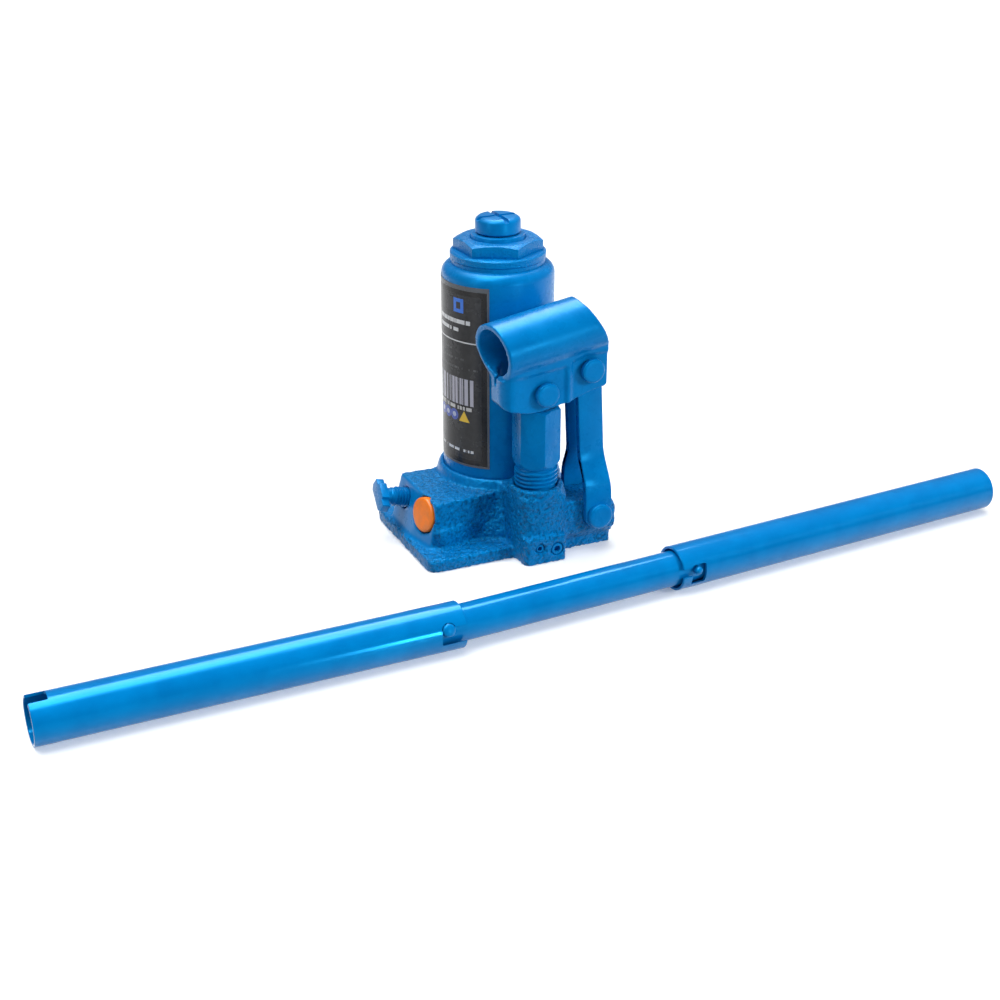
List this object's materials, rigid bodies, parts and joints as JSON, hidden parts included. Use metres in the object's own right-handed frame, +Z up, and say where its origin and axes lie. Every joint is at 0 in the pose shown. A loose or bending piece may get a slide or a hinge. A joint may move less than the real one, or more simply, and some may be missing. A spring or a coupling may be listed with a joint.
{
  "type": "hydraulic bottle jack",
  "caption": "Small blue hydraulic bottle jack with a cast base, screw-out saddle, side pump with a lever socket, release valve and a take-apart tube handle on the floor.",
  "frame": {"origin": "on the ram's axis at the underside of the foot", "axes": "+Z up along the ram, +X along the foot towards the link pivot, -Y towards the pump and the handle"},
  "size_m": [0.4577, 0.1571, 0.1481],
  "materials": {
    "blue_paint": "semi-gloss sprayed enamel",
    "cast_blue_paint": "enamel over rough sand casting",
    "oiled_steel": "turned and oiled",
    "copper": "soft copper sealing washer",
    "black_rubber": "moulded seal rubber",
    "orange_rubber": "moulded bright orange rubber",
    "label_film": "printed black film"
  },
  "bodies": {
    "base": {"base_casting": "cast_blue_paint", "reservoir_tube": "blue_paint", "inner_cylinder": "oiled_steel", "cylinder_gasket": "copper", "tank_gasket_lower": "black_rubber", "tank_gasket_upper": "black_rubber", "top_nut": "blue_paint", "ram_wiper_seal": "black_rubber", "pump_barrel": "blue_paint", "pump_barrel_washer": "copper", "plunger_wiper_ring": "black_rubber", "overload_valve_plug": "blue_paint", "overload_valve_spring": "oiled_steel", "overload_valve_ball": "oiled_steel", "delivery_valve_plug": "blue_paint", "delivery_valve_spring": "oiled_steel", "delivery_valve_ball": "oiled_steel", "inlet_valve_ball": "oiled_steel", "release_valve_ball": "oiled_steel", "rating_label": "label_film"},
    "ram_piston": {"ram": "oiled_steel", "piston_backup_ring": "copper", "piston_cup_seal": "black_rubber", "piston_retainer": "oiled_steel"},
    "screw_carrier": {"screw_stop_ring": "oiled_steel"},
    "screw": {"extension_screw": "oiled_steel"},
    "links": {"link_bar_front": "blue_paint", "link_bar_rear": "blue_paint", "link_pin_upper": "blue_paint", "link_pin_lower": "blue_paint"},
    "lever": {"handle_socket": "blue_paint", "plunger_pin": "blue_paint"},
    "plunger": {"pump_plunger": "oiled_steel", "plunger_cup_seal": "black_rubber"},
    "release_valve": {"release_valve_screw": "blue_paint", "release_valve_o_ring": "black_rubber"},
    "filler_plug": {"oil_filler_plug": "orange_rubber"},
    "handle_middle": {"handle_middle_tube": "blue_paint", "front_joint_pin": "blue_paint", "rear_joint_pin": "blue_paint"},
    "handle_front": {"handle_front_tube": "blue_paint"},
    "handle_rear": {"handle_rear_tube": "blue_paint"}
  },
  "joints": [
    {"name": "ram_lift", "type": "slide", "parent": "base", "child": "ram_piston", "axis": [0, 0, 1], "range_m": [0, 0.08]},
    {"name": "screw_rise", "type": "slide", "parent": "ram_piston", "child": "screw_carrier", "axis": [0, 0, 1], "range_m": [0, 0.05]},
    {"name": "screw_turn", "type": "hinge", "parent": "screw_carrier", "child": "screw", "pos_m": [0, 0, 0.144], "axis": [0, 0, 1], "range_deg": [0, 7210]},
    {"name": "link_swing", "type": "hinge", "parent": "base", "child": "links", "pos_m": [0.027, -0.039, 0.0185], "axis": [0, 1, 0], "range_deg": [0, 0.75]},
    {"name": "lever_pivot", "type": "hinge", "parent": "links", "child": "lever", "pos_m": [0.023, -0.039, 0.088], "axis": [0, 1, 0], "range_deg": [0, 40]},
    {"name": "plunger_stroke", "type": "slide", "parent": "base", "child": "plunger", "axis": [0, 0, 1], "range_m": [0, 0.0165]},
    {"name": "release_valve_turn", "type": "hinge", "parent": "base", "child": "release_valve", "pos_m": [-0.0466, 0.002, 0.0193], "axis": [-0.9659, 0, 0.2588], "range_deg": [0, 540]},
    {"name": "filler_plug_pull", "type": "slide", "parent": "base", "child": "filler_plug", "axis": [-0.9686, -0.2059, 0.1392], "range_m": [0, 0.015]},
    {"name": "handle_lift", "type": "slide", "parent": "base", "child": "handle_middle", "axis": [0, 0, 1], "range_m": [0, 0.1]},
    {"name": "front_tube_pull", "type": "slide", "parent": "handle_middle", "child": "handle_front", "axis": [-0.9998, -0.0192, 0], "range_m": [0, 0.06]},
    {"name": "rear_tube_pull", "type": "slide", "parent": "handle_middle", "child": "handle_rear", "axis": [0.9969, 0.0785, 0], "range_m": [0, 0.06]}
  ],
  "couplings": [
    {"joint": "screw_turn", "follows": "screw_rise", "rad_per_m": 2513.3},
    {"joint": "link_swing", "follows": "lever_pivot", "ratio": 0.0175},
    {"joint": "plunger_stroke", "follows": "lever_pivot", "m_per_rad": 0.0229}
  ]
}
